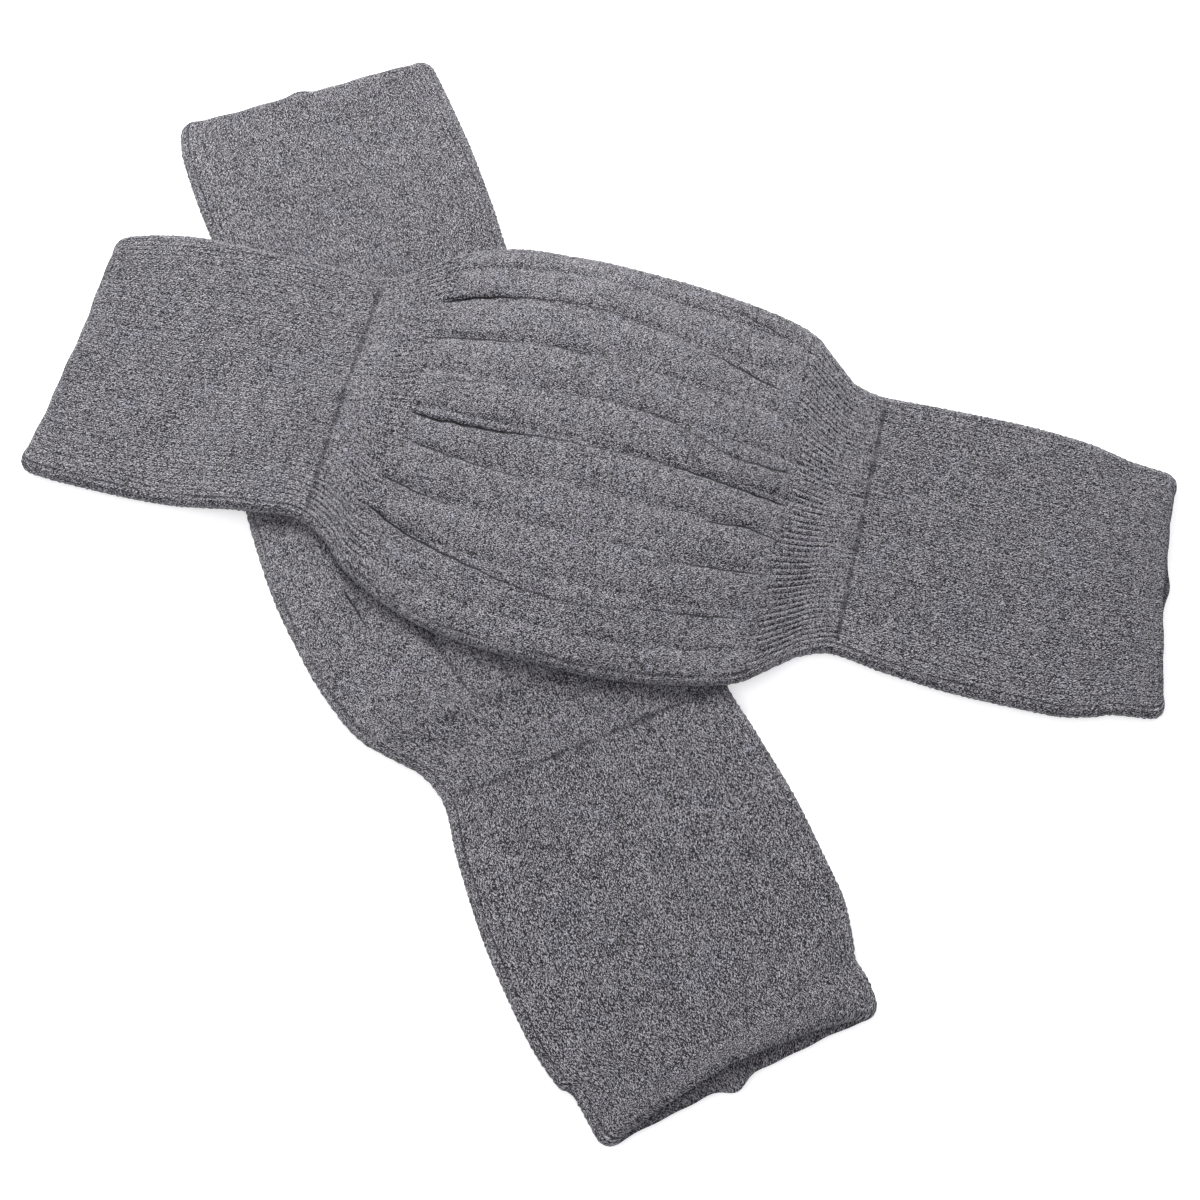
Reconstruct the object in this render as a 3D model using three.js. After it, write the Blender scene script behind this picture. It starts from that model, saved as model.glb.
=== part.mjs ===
// A pair of knee warmers in heather grey knit, laid flat and crossed on a table.
// Each is a tube in three pieces: a turned-in cuff at each end and a knee section between them,
// whose narrow rib bands gather a wide, pleated pouch.
// Millimetres, +Z up. The origin is on the table, under the middle of the pair.
import * as THREE from "three";

// The knitted cloth
const SEAM_GAP = 0.3; // left between two pieces where a seam joins them
const LAY_GAP = 0.5; // left between the front and the back of a tube that lies flat
const REST_GAP = 0.5; // left between the upper warmer and what it lies on
const KNIT_COLOUR = 0x77777c;
const CORNER_RADIUS = 5; // plan rounding where a cuff's mouth meets its side folds
const NOSE = 0.9; // rounding of the turned edge at a mouth

// How the upper warmer comes down from the lower one to the table
const RAMP_LENGTH = 30;

// The knee pouch
const RIB_CROWN = 0.8; // how far the cloth stands up between two pleats
const DOME_POWER = 2.6; // how squarely the pouch fills out between its side folds
const BAND_LENGTH = 27.5; // each rib band, from its seam to where the pleats begin
const BAND_RIBS = 52; // ribs across the front of a band
const BAND_RIB_DEPTH = 0.55;
const BAND_RIB_FADE = 9; // the length over which a band's ribs run out into the pouch

// One row for each section. All are in millimetres from the warmer's first mouth and middle line:
// at is along it, left and right are out to the side folds, wall is one wall of the tube, and puff
// is how far the front stands off the back at the middle.
const LOWER_ROWS = [
  { at: 0, left: 49.5, right: 49.5, wall: 2.2, puff: 0.6 },
  { at: 15, left: 49.8, right: 53.2, wall: 2.2, puff: 0.4 },
  { at: 40, left: 49.6, right: 54.4, wall: 2.2, puff: 0.3 },
  { at: 75, left: 47.5, right: 52.5, wall: 2.2, puff: 0.2 },
  { at: 97, left: 45.2, right: 50, wall: 2.2, puff: 0.2 },
  { at: 108, left: 47.5, right: 52.5, wall: 2.1, puff: 0.6 },
  { at: 116, left: 54, right: 59.5, wall: 2, puff: 1.4 },
  { at: 126, left: 63.5, right: 68.5, wall: 1.8, puff: 2.2 },
  { at: 140, left: 70.5, right: 74.5, wall: 1.8, puff: 2.8 },
  { at: 162, left: 75, right: 79.5, wall: 1.8, puff: 3.1 },
  { at: 190, left: 76, right: 81, wall: 1.8, puff: 3.1 },
  { at: 218, left: 74, right: 79, wall: 1.8, puff: 3 },
  { at: 240, left: 70.5, right: 74.8, wall: 1.8, puff: 2.7 },
  { at: 250, left: 67, right: 71, wall: 1.8, puff: 2.2 },
  { at: 260, left: 60.5, right: 63.6, wall: 1.9, puff: 1.5 },
  { at: 270, left: 53.4, right: 56.2, wall: 2.1, puff: 0.8 },
  { at: 281, left: 49.3, right: 53.4, wall: 2.2, puff: 0.4 },
  { at: 300, left: 51.5, right: 56.2, wall: 2.2, puff: 0.4 },
  { at: 332, left: 54.1, right: 58.3, wall: 2.2, puff: 0.5 },
  { at: 358, left: 54.1, right: 57.2, wall: 2.2, puff: 0.7 },
  { at: 377, left: 50.2, right: 53.6, wall: 2.2, puff: 1.2 },
  { at: 381, left: 48.7, right: 50.4, wall: 2.2, puff: 1.4 },
  { at: 388, left: 49.6, right: 49.4, wall: 2.2, puff: 1.9 },
  { at: 399.6, left: 48.6, right: 48.2, wall: 2.2, puff: 2.4 },
];
const UPPER_ROWS = [
  { at: 0, left: 49.6, right: 48.8, wall: 2.2, puff: 0.4 },
  { at: 15, left: 52.4, right: 50, wall: 2.2, puff: 0.3 },
  { at: 35, left: 53.4, right: 50.2, wall: 2.2, puff: 0.3 },
  { at: 65, left: 53.6, right: 48.6, wall: 2.2, puff: 0.2 },
  { at: 86, left: 53.2, right: 46.6, wall: 2.2, puff: 0.2 },
  { at: 98, left: 52.4, right: 45.6, wall: 2.2, puff: 0.2 },
  { at: 106, left: 53.4, right: 47.4, wall: 2.1, puff: 0.6 },
  { at: 114, left: 57.4, right: 52.2, wall: 2, puff: 1.4 },
  { at: 122, left: 64.2, right: 59.8, wall: 1.8, puff: 2 },
  { at: 130, left: 70, right: 64.4, wall: 1.8, puff: 2.5 },
  { at: 142, left: 75, right: 70, wall: 1.8, puff: 2.9 },
  { at: 160, left: 79.5, right: 75, wall: 1.8, puff: 3.1 },
  { at: 182, left: 82, right: 77, wall: 1.8, puff: 3.1 },
  { at: 208, left: 81.1, right: 77.2, wall: 1.8, puff: 3.1 },
  { at: 232, left: 78.4, right: 74.8, wall: 1.8, puff: 2.9 },
  { at: 250, left: 75.1, right: 71.2, wall: 1.8, puff: 2.6 },
  { at: 262, left: 70.7, right: 67, wall: 1.8, puff: 2.1 },
  { at: 272, left: 61.6, right: 58.6, wall: 2, puff: 1.3 },
  { at: 281, left: 54, right: 51, wall: 2.1, puff: 0.6 },
  { at: 291, left: 51.8, right: 47.8, wall: 2.2, puff: 0.3 },
  { at: 310, left: 52.4, right: 50.2, wall: 2.2, puff: 0.3 },
  { at: 338, left: 52.8, right: 52, wall: 2.2, puff: 0.3 },
  { at: 364, left: 51.4, right: 51.6, wall: 2.2, puff: 0.4 },
  { at: 378, left: 48.8, right: 48.6, wall: 2.2, puff: 0.5 },
  { at: 382, left: 47.8, right: 46.8, wall: 2.2, puff: 0.6 },
  { at: 400, left: 46, right: 44.2, wall: 2.2, puff: 0.9 },
];

// One row for each pleat of a pouch's front. across is its place from the middle line (0) to the
// left fold (1) or the right one (-1), and the depths are at the first band, halfway and at the
// second band.
const LOWER_PLEATS = [
  { across: 0.88, first: 0.4, middle: 0.3, second: 0.5 },
  { across: 0.66, first: 0.7, middle: 0.4, second: 0.8 },
  { across: 0.44, first: 1.2, middle: 0.5, second: 0.5 },
  { across: 0.22, first: 0.7, middle: 0.4, second: 0.9 },
  { across: 0, first: 1.4, middle: 0.6, second: 1.3 },
  { across: -0.22, first: 0.6, middle: 0.4, second: 0.9 },
  { across: -0.45, first: 1, middle: 0.7, second: 1.2 },
  { across: -0.67, first: 0.8, middle: 0.5, second: 0.8 },
  { across: -0.89, first: 0.4, middle: 0.3, second: 0.5 },
];
const UPPER_PLEATS = [
  { across: 0.89, first: 0.5, middle: 0.4, second: 0.5 },
  { across: 0.69, first: 1.5, middle: 0.5, second: 0.5 },
  { across: 0.46, first: 1.1, middle: 0.4, second: 0.6 },
  { across: 0.235, first: 0.6, middle: 0.5, second: 1.1 },
  { across: 0.015, first: 1.6, middle: 0.7, second: 1.6 },
  { across: -0.205, first: 0.7, middle: 0.4, second: 1 },
  { across: -0.43, first: 0.8, middle: 0.5, second: 0.7 },
  { across: -0.65, first: 1.2, middle: 0.5, second: 0.5 },
  { across: -0.87, first: 0.5, middle: 0.4, second: 0.4 },
];
const PLEAT_HALF_WIDTH = 2.6;

// One entry for each mouth. skew is how far its left end lies further along than its middle, for
// each millimetre across. front and back are how far the middle of each edge is drawn in, and nub
// is the tail of the knitting, which makes the back edge stand out by that much at across.
const LOWER_MOUTHS = [
  { skew: 0.09, front: 0.6, back: -0.5, nub: 1.8, across: -0.06 },
  { skew: -0.035, front: 6, back: 1.2, nub: 3.2, across: -0.066 },
];
const UPPER_MOUTHS = [
  { skew: 0.03, front: 1.6, back: 1.3, nub: 0, across: 0 },
  { skew: -0.075, front: 2.8, back: 2, nub: 2, across: 0.06 },
];
const NUB_HALF_WIDTH = 5;
const MOUTH_REACH = 14; // how far in from its edge a mouth's drawn-in line is felt
const SKEW_REACH = 70;

// Where each warmer lies. start is the middle of its first mouth, and heading is the way it runs.
const LOWER = {
  name: "lower",
  start: [-112.71, 185.92],
  heading: -66.7,
  seams: [98, 281],
  rows: LOWER_ROWS,
  pleats: LOWER_PLEATS,
  mouths: LOWER_MOUTHS,
};
const UPPER = {
  name: "upper",
  start: [-191.71, 74.52],
  heading: -13.8,
  seams: [104.5, 291.5],
  rows: UPPER_ROWS,
  pleats: UPPER_PLEATS,
  mouths: UPPER_MOUTHS,
};

// Points round a tube: how many steps each stretch of an outline has.
const CUFF_RING = { across: 10, fold: 5, inside: 7 };
const KNEE_RING = { across: 10, fold: 5, inside: 9 };
const STEPS_BETWEEN_PLEATS = 3;
const CUFF_STEP = 12;
const POUCH_STEP = 10.5;

const lastOf = (list) => list[list.length - 1];
const smoothstep = (x) => {
  const c = Math.min(1, Math.max(0, x));
  return c * c * (3 - 2 * c);
};

// A value of the table between its rows, on a smooth curve that never overshoots them.
function valueAt(rows, key, at) {
  const s = Math.min(Math.max(at, rows[0].at), lastOf(rows).at);
  let i = 0;
  while (i < rows.length - 2 && rows[i + 1].at < s) i++;
  const slope = (k) =>
    (rows[k + 1][key] - rows[k][key]) / (rows[k + 1].at - rows[k].at);
  const tangent = (k) => {
    if (k === 0 || k === rows.length - 1) return slope(Math.min(k, rows.length - 2));
    const before = slope(k - 1);
    const after = slope(k);
    return before * after <= 0 ? 0 : (2 * before * after) / (before + after);
  };
  const span = rows[i + 1].at - rows[i].at;
  const x = (s - rows[i].at) / span;
  const rise = rows[i + 1][key] - rows[i][key];
  const bend0 = tangent(i) * span;
  const bend1 = tangent(i + 1) * span;
  const c2 = 3 * rise - 2 * bend0 - bend1;
  const c3 = bend0 + bend1 - 2 * rise;
  return rows[i][key] + x * (bend0 + x * (c2 + x * c3));
}

// How much narrower a tube is on each side where its mouth's corners round off.
function cornerInset(warmer, at) {
  const fromMouth = Math.min(at, lastOf(warmer.rows).at - at);
  if (fromMouth >= CORNER_RADIUS) return 0;
  const share = 1 - Math.max(0, fromMouth) / CORNER_RADIUS;
  return CORNER_RADIUS * (1 - Math.sqrt(1 - share * share)) * 0.8;
}

// The tube's sizes at one place along it.
function sectionAt(warmer, at) {
  const inset = cornerInset(warmer, at);
  const left = valueAt(warmer.rows, "left", at) - inset;
  const right = valueAt(warmer.rows, "right", at) - inset;
  const wall = valueAt(warmer.rows, "wall", at);
  return {
    middle: (left - right) / 2,
    half: (left + right) / 2,
    wall,
    puff: valueAt(warmer.rows, "puff", at),
    flat: 2 * wall + LAY_GAP,
  };
}

const dome = (across) => 1 - Math.abs(across) ** DOME_POWER;

// How fully the pouch stands in its pleats at one place along it, from 0 in the bands to 1.
function pouchShare(warmer, at) {
  const [first, second] = warmer.seams;
  const fromBand = Math.min(at - first, second - at) - BAND_LENGTH;
  return smoothstep((fromBand + 9) / 16);
}

// How far a band's ribs stand out at one place along it.
function bandRibDepth(warmer, at) {
  const [first, second] = warmer.seams;
  const toPleats = BAND_LENGTH - Math.min(at - first, second - at);
  return BAND_RIB_DEPTH * smoothstep(toPleats / BAND_RIB_FADE);
}

// The soft ridges and pleats of the pouch's front, above its plain height.
function pleatRelief(warmer, section, across, at) {
  const share = pouchShare(warmer, at);
  if (share === 0) return 0;
  const [first, second] = warmer.seams;
  const along = (at - first) / (second - first);
  const ends = [1, ...warmer.pleats.map((p) => p.across), -1];
  let k = 0;
  while (k < ends.length - 2 && ends[k + 1] > across) k++;
  const between = (2 * (across - ends[k + 1])) / (ends[k] - ends[k + 1]) - 1;
  let relief = RIB_CROWN * (1 - between * between);
  for (const p of warmer.pleats) {
    const off = (Math.abs(across - p.across) * section.half) / PLEAT_HALF_WIDTH;
    if (off >= 1) continue;
    const toFirst = smoothstep(1 - along / 0.5);
    const toSecond = smoothstep((along - 0.5) / 0.5);
    const depth = p.middle + (p.first - p.middle) * toFirst + (p.second - p.middle) * toSecond;
    relief -= depth * (1 - off) * 0.55;
  }
  return share * relief;
}

// The height of the lower warmer's top, carried on past its side folds in a ramp to the table.
function heightOfLower(x, y) {
  const heading = THREE.MathUtils.degToRad(LOWER.heading);
  const dx = x - LOWER.start[0];
  const dy = y - LOWER.start[1];
  const at = dx * Math.cos(heading) + dy * Math.sin(heading);
  const off = -dx * Math.sin(heading) + dy * Math.cos(heading);
  const section = sectionAt(LOWER, Math.min(Math.max(at, CORNER_RADIUS), 390));
  const across = (off - section.middle) / section.half;
  const crown = RIB_CROWN * pouchShare(LOWER, at);
  const inside = section.puff * Math.max(0, dome(Math.min(1, Math.abs(across))));
  const past = Math.max(0, Math.abs(off - section.middle) - section.half);
  const full = section.flat + inside + crown + REST_GAP;
  return full * smoothstep(1 - past / RAMP_LENGTH);
}

// How far a mouth's edge lies along from its square line, at a point of the front (face 1) or the
// back (face -1).
function mouthShift(warmer, at, across, half, face) {
  const length = lastOf(warmer.rows).at;
  let shift = 0;
  warmer.mouths.forEach((mouth, end) => {
    const inward = end === 0 ? 1 : -1;
    const fromMouth = end === 0 ? at : length - at;
    const drawn = face > 0 ? mouth.front * face : mouth.back * -face;
    const near = smoothstep(1 - fromMouth / MOUTH_REACH);
    const nubOff = ((across - mouth.across) * half) / NUB_HALF_WIDTH;
    const nub = face < 0 ? mouth.nub * Math.exp(-nubOff * nubOff) * -face : 0;
    shift += inward * near * (drawn * (1 - across * across) - nub);
    shift += mouth.skew * across * half * smoothstep(1 - fromMouth / SKEW_REACH);
  });
  return shift;
}

// A point of a tube, from its place along, off the middle line and up from what it lies on.
function placePoint(warmer, at, off, up, face) {
  const heading = THREE.MathUtils.degToRad(warmer.heading);
  const section = sectionAt(warmer, at);
  const across = Math.min(1, Math.max(-1, (off - section.middle) / section.half));
  const along = at + mouthShift(warmer, at, across, section.half, face);
  const x = warmer.start[0] + along * Math.cos(heading) - off * Math.sin(heading);
  const y = warmer.start[1] + along * Math.sin(heading) + off * Math.cos(heading);
  const base = warmer === UPPER ? heightOfLower(x, y) : 0;
  return new THREE.Vector3(x, y, up + base);
}

// The points across a tube's front, from its left fold to its right one: where each is, and how
// far it stands above the plain height.
function frontPlaces(warmer, section, station, ring) {
  const even = (steps) => Array.from({ length: steps + 1 }, (_, i) => 1 - (2 * i) / steps);
  if (station.form === "plain") {
    return even(ring.across).map((across) => ({ across, relief: 0 }));
  }
  if (station.form === "band") {
    const depth = bandRibDepth(warmer, station.at);
    return even(2 * BAND_RIBS).map((across, i) => ({
      across,
      relief: depth * (i % 2 - 0.5) + pleatRelief(warmer, section, across, station.at),
    }));
  }
  const ends = [1, ...warmer.pleats.map((p) => p.across), -1];
  const places = [1];
  for (let k = 1; k < ends.length; k++) {
    for (let i = 1; i <= STEPS_BETWEEN_PLEATS; i++) {
      places.push(ends[k - 1] + ((ends[k] - ends[k - 1]) * i) / STEPS_BETWEEN_PLEATS);
    }
  }
  return places.map((across) => ({
    across,
    relief: pleatRelief(warmer, section, across, station.at),
  }));
}

// One closed outline of a tube's outside. Each point has its turn round the tube: 0 to 1 over the
// front from the left fold, to 2 round the right one, to 3 underneath and to 4 round the left one.
// A station's nose rounds the turned edge of a mouth.
function outsideRing(warmer, station, ring) {
  const { at, nose } = station;
  const section = sectionAt(warmer, at);
  const fold = section.flat / 2;
  const reach = section.half - fold;
  const points = [];
  const add = (off, up, face, turn) =>
    points.push({ point: placePoint(warmer, at, section.middle + off, up, face), turn });
  for (const { across, relief } of frontPlaces(warmer, section, station, ring)) {
    const up = section.flat + section.puff * dome(across) + relief - nose;
    add(across * reach, up, 1, (1 - across) / 2);
  }
  const side = (sign, i) => {
    const angle = Math.PI * (0.5 - i / ring.fold);
    const face = Math.sin(angle) * sign;
    const out = reach + (fold - nose) * Math.cos(angle);
    add(-sign * out, fold + (fold - nose) * face, face, 2 - sign + i / ring.fold);
  };
  for (let i = 1; i < ring.fold; i++) side(1, i);
  for (let i = 0; i <= ring.across; i++) {
    add(reach * ((2 * i) / ring.across - 1), nose, -1, 2 + i / ring.across);
  }
  for (let i = 1; i < ring.fold; i++) side(-1, i);
  return points;
}

// One closed outline of the plain inside of a tube, with the same turns.
function insideRing(warmer, { at }, ring) {
  const section = sectionAt(warmer, at);
  const gap = LAY_GAP / 2;
  const reach = section.half - section.wall - gap;
  const points = [];
  const add = (off, up, face, turn) =>
    points.push({ point: placePoint(warmer, at, section.middle + off, up, face), turn });
  for (let i = 0; i <= ring.inside; i++) {
    const across = 1 - (2 * i) / ring.inside;
    const up = section.wall + LAY_GAP + section.puff * dome(across);
    add(across * reach, up, 1, i / ring.inside);
  }
  add(-reach - gap, section.wall + gap, 0, 1.5);
  for (let i = 0; i <= ring.inside; i++) {
    add(reach * ((2 * i) / ring.inside - 1), section.wall, -1, 2 + i / ring.inside);
  }
  add(reach + gap, section.wall + gap, 0, 3.5);
  return points;
}

// Faces between two closed rings. Both are walked round together, whichever is behind by its
// turns taking the next step.
function bridge(faces, ringA, ringB) {
  let a = 0;
  let b = 0;
  const turnOf = (ring, i) => (i < ring.length ? ring[i].turn : 4 + ring[0].turn);
  while (a < ringA.length || b < ringB.length) {
    const here = ringA[a % ringA.length].index;
    const there = ringB[b % ringB.length].index;
    const stepA = a < ringA.length && turnOf(ringA, a + 1) <= turnOf(ringB, b + 1);
    if (stepA || b >= ringB.length) {
      a++;
      faces.push(here, ringA[a % ringA.length].index, there);
    } else {
      b++;
      faces.push(here, ringB[b % ringB.length].index, there);
    }
  }
}

// A tube of cloth through its stations, as one closed wall with an open hollow.
function tube(name, warmer, stations, ring) {
  const points = [];
  const keep = (list) =>
    list.map(({ point, turn }) => ({ turn, index: points.push(point) - 1 }));
  const outside = stations.map((s) => keep(outsideRing(warmer, s, ring)));
  const inside = stations.map((s) => keep(insideRing(warmer, s, ring)));
  const faces = [];
  for (let i = 1; i < stations.length; i++) {
    bridge(faces, outside[i - 1], outside[i]);
    bridge(faces, inside[i], inside[i - 1]);
  }
  bridge(faces, inside[0], outside[0]);
  bridge(faces, lastOf(outside), lastOf(inside));
  const geometry = new THREE.BufferGeometry().setFromPoints(points);
  geometry.setIndex(faces);
  geometry.computeVertexNormals();
  const material = new THREE.MeshStandardMaterial({
    color: KNIT_COLOUR,
    roughness: 0.95,
    metalness: 0,
    side: THREE.DoubleSide,
  });
  const mesh = new THREE.Mesh(geometry, material);
  mesh.name = name;
  return mesh;
}

const evenly = (from, to, step) => {
  const count = Math.round((to - from) / step);
  return Array.from({ length: count + 1 }, (_, i) => from + ((to - from) * i) / count);
};

// The stations of a cuff, closer together at its mouth, whose turned edge is rounded.
function cuffStations(mouthAt, seamAt) {
  const inward = Math.sign(seamAt - mouthAt);
  const nearMouth = [
    { at: mouthAt, nose: NOSE, form: "plain" },
    { at: mouthAt + inward * 0.5, nose: NOSE * 0.4, form: "plain" },
    { at: mouthAt + inward * 1.6, nose: 0, form: "plain" },
    { at: mouthAt + inward * CORNER_RADIUS, nose: 0, form: "plain" },
  ];
  const seamEdge = seamAt - (inward * SEAM_GAP) / 2;
  const rest = evenly(mouthAt + inward * 14, seamEdge, inward * CUFF_STEP);
  const stations = [...nearMouth, ...rest.map((at) => ({ at, nose: 0, form: "plain" }))];
  return inward > 0 ? stations : stations.reverse();
}

// The stations of a knee section, closer together where the bands gather the pouch.
function kneeStations([first, second]) {
  const from = first + SEAM_GAP / 2;
  const to = second - SEAM_GAP / 2;
  const band = [0, 8, 14.5, 20, 25].map((g) => ({ g, form: "band" }));
  const gather = [30, 35.5].map((g) => ({ g, form: "pleats" }));
  const nearSeam = [...band, ...gather];
  return [
    ...nearSeam.map(({ g, form }) => ({ at: from + g, nose: 0, form })),
    ...evenly(from + 44, to - 44, POUCH_STEP).map((at) => ({ at, nose: 0, form: "pleats" })),
    ...nearSeam.map(({ g, form }) => ({ at: to - g, nose: 0, form })).reverse(),
  ];
}

function kneeWarmer(warmer) {
  const group = new THREE.Group();
  const [firstSeam, secondSeam] = warmer.seams;
  const length = lastOf(warmer.rows).at;
  const name = warmer.name;
  group.add(tube(`${name}_thigh_cuff`, warmer, cuffStations(length, secondSeam), CUFF_RING));
  group.add(tube(`${name}_knee`, warmer, kneeStations(warmer.seams), KNEE_RING));
  group.add(tube(`${name}_calf_cuff`, warmer, cuffStations(0, firstSeam), CUFF_RING));
  return group;
}

const pair = new THREE.Group();
pair.add(kneeWarmer(LOWER));
pair.add(kneeWarmer(UPPER));

export default pair;
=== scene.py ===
"""A pair of knee warmers in heather grey knit, laid flat and crossed.

Lengths in the tables are in millimetres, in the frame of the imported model. The cloth is made from
named sections: each warmer is a flattened tube, and its front carries the pleats, creases, rib
bands and stitches.
"""
import math

import bpy
import numpy as np
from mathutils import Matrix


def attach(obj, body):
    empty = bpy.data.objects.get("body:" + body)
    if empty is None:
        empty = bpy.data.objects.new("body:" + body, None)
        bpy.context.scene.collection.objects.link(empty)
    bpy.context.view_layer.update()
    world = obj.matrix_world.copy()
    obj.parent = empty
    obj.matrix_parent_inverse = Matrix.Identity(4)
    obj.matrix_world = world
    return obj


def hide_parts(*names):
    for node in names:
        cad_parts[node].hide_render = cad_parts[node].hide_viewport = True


bl_info = {
    "name": "Knitted knee warmers",
    "version": (1, 0, 0),
    "blender": (4, 5, 0),
    "location": "View3D > Sidebar > Knee warmers",
    "description": "Builds a pair of knitted knee warmers, laid flat and crossed",
    "category": "Object",
}

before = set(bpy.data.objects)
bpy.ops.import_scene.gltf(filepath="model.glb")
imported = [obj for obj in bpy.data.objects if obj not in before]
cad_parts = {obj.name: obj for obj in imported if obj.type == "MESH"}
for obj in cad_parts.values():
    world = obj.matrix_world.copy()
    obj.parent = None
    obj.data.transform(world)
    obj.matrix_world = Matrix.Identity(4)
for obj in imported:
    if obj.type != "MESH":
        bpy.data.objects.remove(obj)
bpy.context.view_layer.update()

MM = 0.001

# --- Sizes of the cloth, in mm ---

LAY_GAP = 0.5  # between a tube's two layers
REST_GAP = 0.5  # between the two warmers
SEAM_GAP = 0.06
CORNER_RADIUS = 5.0  # of a mouth's corners
CORNER_SHARE = 0.8  # of a full round
NOSE = 0.9  # how far a mouth's edge rounds in from above and below
RAMP_LENGTH = 30.0  # in which the upper warmer comes down beside the lower one
RAMP_END = 390.0  # from here on the lower warmer's height is carried on
RIB_CROWN = 0.8  # height of the front between two pleats
DOME_POWER = 2.6  # the higher, the flatter the front
BAND_LENGTH = 27.5
BAND_EASE = 5.0  # in which a rib band ends
POUCH_OVERLAP = 9.0  # how far inside a band the pouch begins to fill
POUCH_RISE = 16.0
PLEAT_HALF_WIDTH = 2.6
NUB_HALF_WIDTH = 5.0
MOUTH_REACH = 14.0  # how far in an uneven mouth moves the cloth
SKEW_REACH = 70.0
CREASE_REACH = 4.0
TROUGHS = ((0.6, 0.9), (0.4, 3.2))  # a crease's two bells: share of its depth and half width
RIDGE_HALF_WIDTH = 1.1
FOLD_REACH = 2.5  # in which the front's relief fades out at a side fold
FOLD_LINE_ANGLE = 0.9  # of the line pressed into a side fold, above its outermost line
FOLD_LINE_SPREAD = 0.24
FOLD_LINE_DEPTH = 0.2
KNOB = 0.24  # how far stitches stand off a side fold
HEM = 17.5  # from a mouth to the row that holds its turned edge
# A mouth's rounded edge: the way in, and the share of NOSE taken off there.
MOUTH_EDGE = ((0, 1), (0.15, 0.66), (0.45, 0.36), (0.9, 0.12), (1.5, 0))
FIRST_ROW = 2.4  # from a mouth to the row behind that edge
INSIDE_STEP = 6.0  # between rows of points inside a tube

# Stitches across a front and round a side fold, and the points that one has.
CUFF_WALES, CUFF_FOLD_WALES, POINTS_A_WALE = 52, 3.5, 5
KNEE_WALES, KNEE_FOLD_WALES = 104, 5
BAND_RIBS, POINTS_A_RIB = 52, 6

# --- Tables ---

# Sections: place along, out to the left and right folds, one wall, and how far the front domes up.
ROW_COLUMNS = ("at", "left", "right", "wall", "puff")
LOWER_ROWS = (
    (0, 49.5, 49.5, 2.2, 0.6), (15, 49.8, 53.2, 2.2, 0.4), (40, 49.6, 54.4, 2.2, 0.3),
    (75, 47.5, 52.5, 2.2, 0.2), (97, 45.2, 50, 2.2, 0.2), (108, 47.5, 52.5, 2.1, 0.6),
    (116, 54, 59.5, 2, 1.4), (126, 63.5, 68.5, 1.8, 2.2), (140, 70.5, 74.5, 1.8, 2.8),
    (162, 75, 79.5, 1.8, 3.1), (190, 76, 81, 1.8, 3.1), (218, 74, 79, 1.8, 3),
    (240, 70.5, 74.8, 1.8, 2.7), (250, 67, 71, 1.8, 2.2), (260, 60.5, 63.6, 1.9, 1.5),
    (270, 53.4, 56.2, 2.1, 0.8), (281, 49.3, 53.4, 2.2, 0.4), (300, 51.5, 56.2, 2.2, 0.4),
    (332, 54.1, 58.3, 2.2, 0.5), (358, 54.1, 57.2, 2.2, 0.7), (377, 50.2, 53.6, 2.2, 1.2),
    (381, 48.7, 50.4, 2.2, 1.4), (388, 49.6, 49.4, 2.2, 1.9), (399.6, 48.6, 48.2, 2.2, 2.4),
)
UPPER_ROWS = (
    (0, 49.6, 48.8, 2.2, 0.4), (15, 52.4, 50, 2.2, 0.3), (35, 53.4, 50.2, 2.2, 0.3),
    (65, 53.6, 48.6, 2.2, 0.2), (86, 53.2, 46.6, 2.2, 0.2), (98, 52.4, 45.6, 2.2, 0.2),
    (106, 53.4, 47.4, 2.1, 0.6), (114, 57.4, 52.2, 2, 1.4), (122, 64.2, 59.8, 1.8, 2),
    (130, 70, 64.4, 1.8, 2.5), (142, 75, 70, 1.8, 2.9), (160, 79.5, 75, 1.8, 3.1),
    (182, 82, 77, 1.8, 3.1), (208, 81.1, 77.2, 1.8, 3.1), (232, 78.4, 74.8, 1.8, 2.9),
    (250, 75.1, 71.2, 1.8, 2.6), (262, 70.7, 67, 1.8, 2.1), (272, 61.6, 58.6, 2, 1.3),
    (281, 54, 51, 2.1, 0.6), (291, 51.8, 47.8, 2.2, 0.3), (310, 52.4, 50.2, 2.2, 0.3),
    (338, 52.8, 52, 2.2, 0.3), (364, 51.4, 51.6, 2.2, 0.4), (378, 48.8, 48.6, 2.2, 0.5),
    (382, 47.8, 46.8, 2.2, 0.6), (400, 46, 44.2, 2.2, 0.9),
)

# Pleats: place across from the left fold (1) to the right one (-1), and the depth at the first
# band, halfway and at the second band.
PLEAT_COLUMNS = ("across", "first", "middle", "second")
LOWER_PLEATS = (
    (0.88, 0.4, 0.3, 0.5), (0.66, 0.7, 0.4, 0.8), (0.44, 1.2, 0.5, 0.5), (0.22, 0.7, 0.4, 0.9),
    (0, 1.4, 0.6, 1.3), (-0.22, 0.6, 0.4, 0.9), (-0.45, 1, 0.7, 1.2), (-0.67, 0.8, 0.5, 0.8),
    (-0.89, 0.4, 0.3, 0.5),
)
UPPER_PLEATS = (
    (0.89, 0.5, 0.4, 0.5), (0.69, 1.5, 0.5, 0.5), (0.46, 1.1, 0.4, 0.6), (0.235, 0.6, 0.5, 1.1),
    (0.015, 1.6, 0.7, 1.6), (-0.205, 0.7, 0.4, 1), (-0.43, 0.8, 0.5, 0.7),
    (-0.65, 1.2, 0.5, 0.5), (-0.87, 0.5, 0.4, 0.4),
)

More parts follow.
